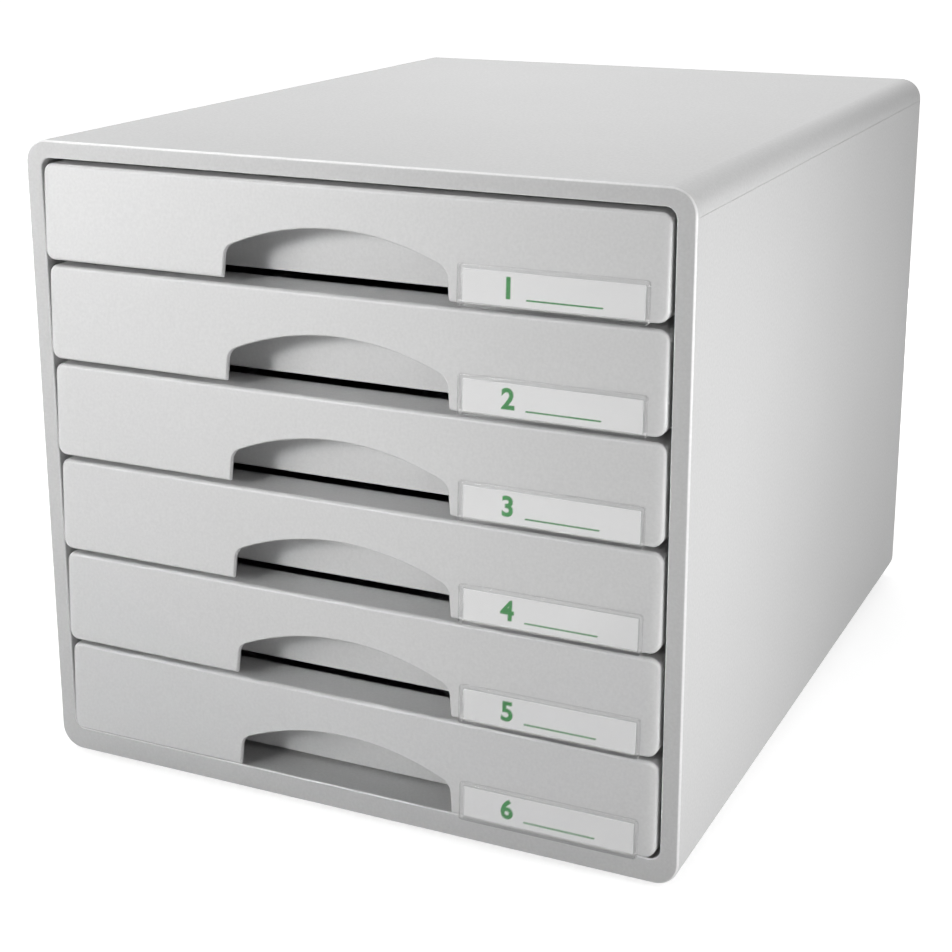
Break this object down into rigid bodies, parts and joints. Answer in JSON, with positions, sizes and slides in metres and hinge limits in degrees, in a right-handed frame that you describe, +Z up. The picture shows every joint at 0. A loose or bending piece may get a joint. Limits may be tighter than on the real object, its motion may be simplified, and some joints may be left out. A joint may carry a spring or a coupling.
{
  "type": "desktop drawer cabinet",
  "caption": "Desktop cabinet for A4 paper: a rounded plastic sleeve with a stack of sliding drawers, arched finger cut-outs and clear label covers.",
  "frame": {"origin": "on the desk, under the middle of the cabinet's overall box", "axes": "+X to the right of someone facing the drawers, +Y from the fronts to the back, +Z up"},
  "size_m": [0.287, 0.365, 0.2715],
  "materials": {
    "housing_plastic": "fine-grained light grey moulded plastic",
    "drawer_plastic": "fine-grained light grey moulded plastic",
    "runner_plastic": "plain grey moulded plastic",
    "clear_plastic": "clear, polished",
    "card_paper": "smooth white card",
    "foot_rubber": "matt black rubber"
  },
  "bodies": {
    "housing": {"housing_shell": "housing_plastic", "rear_panel": "housing_plastic", "runner_panel_left": "runner_plastic", "runner_panel_right": "runner_plastic", "foot_front_left": "foot_rubber", "foot_front_right": "foot_rubber", "foot_rear_left": "foot_rubber", "foot_rear_right": "foot_rubber"},
    "drawer_1": {"drawer_tray_1": "drawer_plastic", "label_cover_1": "clear_plastic", "label_card_1": "card_paper"},
    "drawer_2": {"drawer_tray_2": "drawer_plastic", "label_cover_2": "clear_plastic", "label_card_2": "card_paper"},
    "drawer_3": {"drawer_tray_3": "drawer_plastic", "label_cover_3": "clear_plastic", "label_card_3": "card_paper"},
    "drawer_4": {"drawer_tray_4": "drawer_plastic", "label_cover_4": "clear_plastic", "label_card_4": "card_paper"},
    "drawer_5": {"drawer_tray_5": "drawer_plastic", "label_cover_5": "clear_plastic", "label_card_5": "card_paper"},
    "drawer_6": {"drawer_tray_6": "drawer_plastic", "label_cover_6": "clear_plastic", "label_card_6": "card_paper"}
  },
  "joints": [
    {"name": "drawer_1_slide", "type": "slide", "parent": "housing", "child": "drawer_1", "axis": [0, -1, 0], "range_m": [0, 0.27]},
    {"name": "drawer_2_slide", "type": "slide", "parent": "housing", "child": "drawer_2", "axis": [0, -1, 0], "range_m": [0, 0.27]},
    {"name": "drawer_3_slide", "type": "slide", "parent": "housing", "child": "drawer_3", "axis": [0, -1, 0], "range_m": [0, 0.27]},
    {"name": "drawer_4_slide", "type": "slide", "parent": "housing", "child": "drawer_4", "axis": [0, -1, 0], "range_m": [0, 0.27]},
    {"name": "drawer_5_slide", "type": "slide", "parent": "housing", "child": "drawer_5", "axis": [0, -1, 0], "range_m": [0, 0.27]},
    {"name": "drawer_6_slide", "type": "slide", "parent": "housing", "child": "drawer_6", "axis": [0, -1, 0], "range_m": [0, 0.27]}
  ]
}
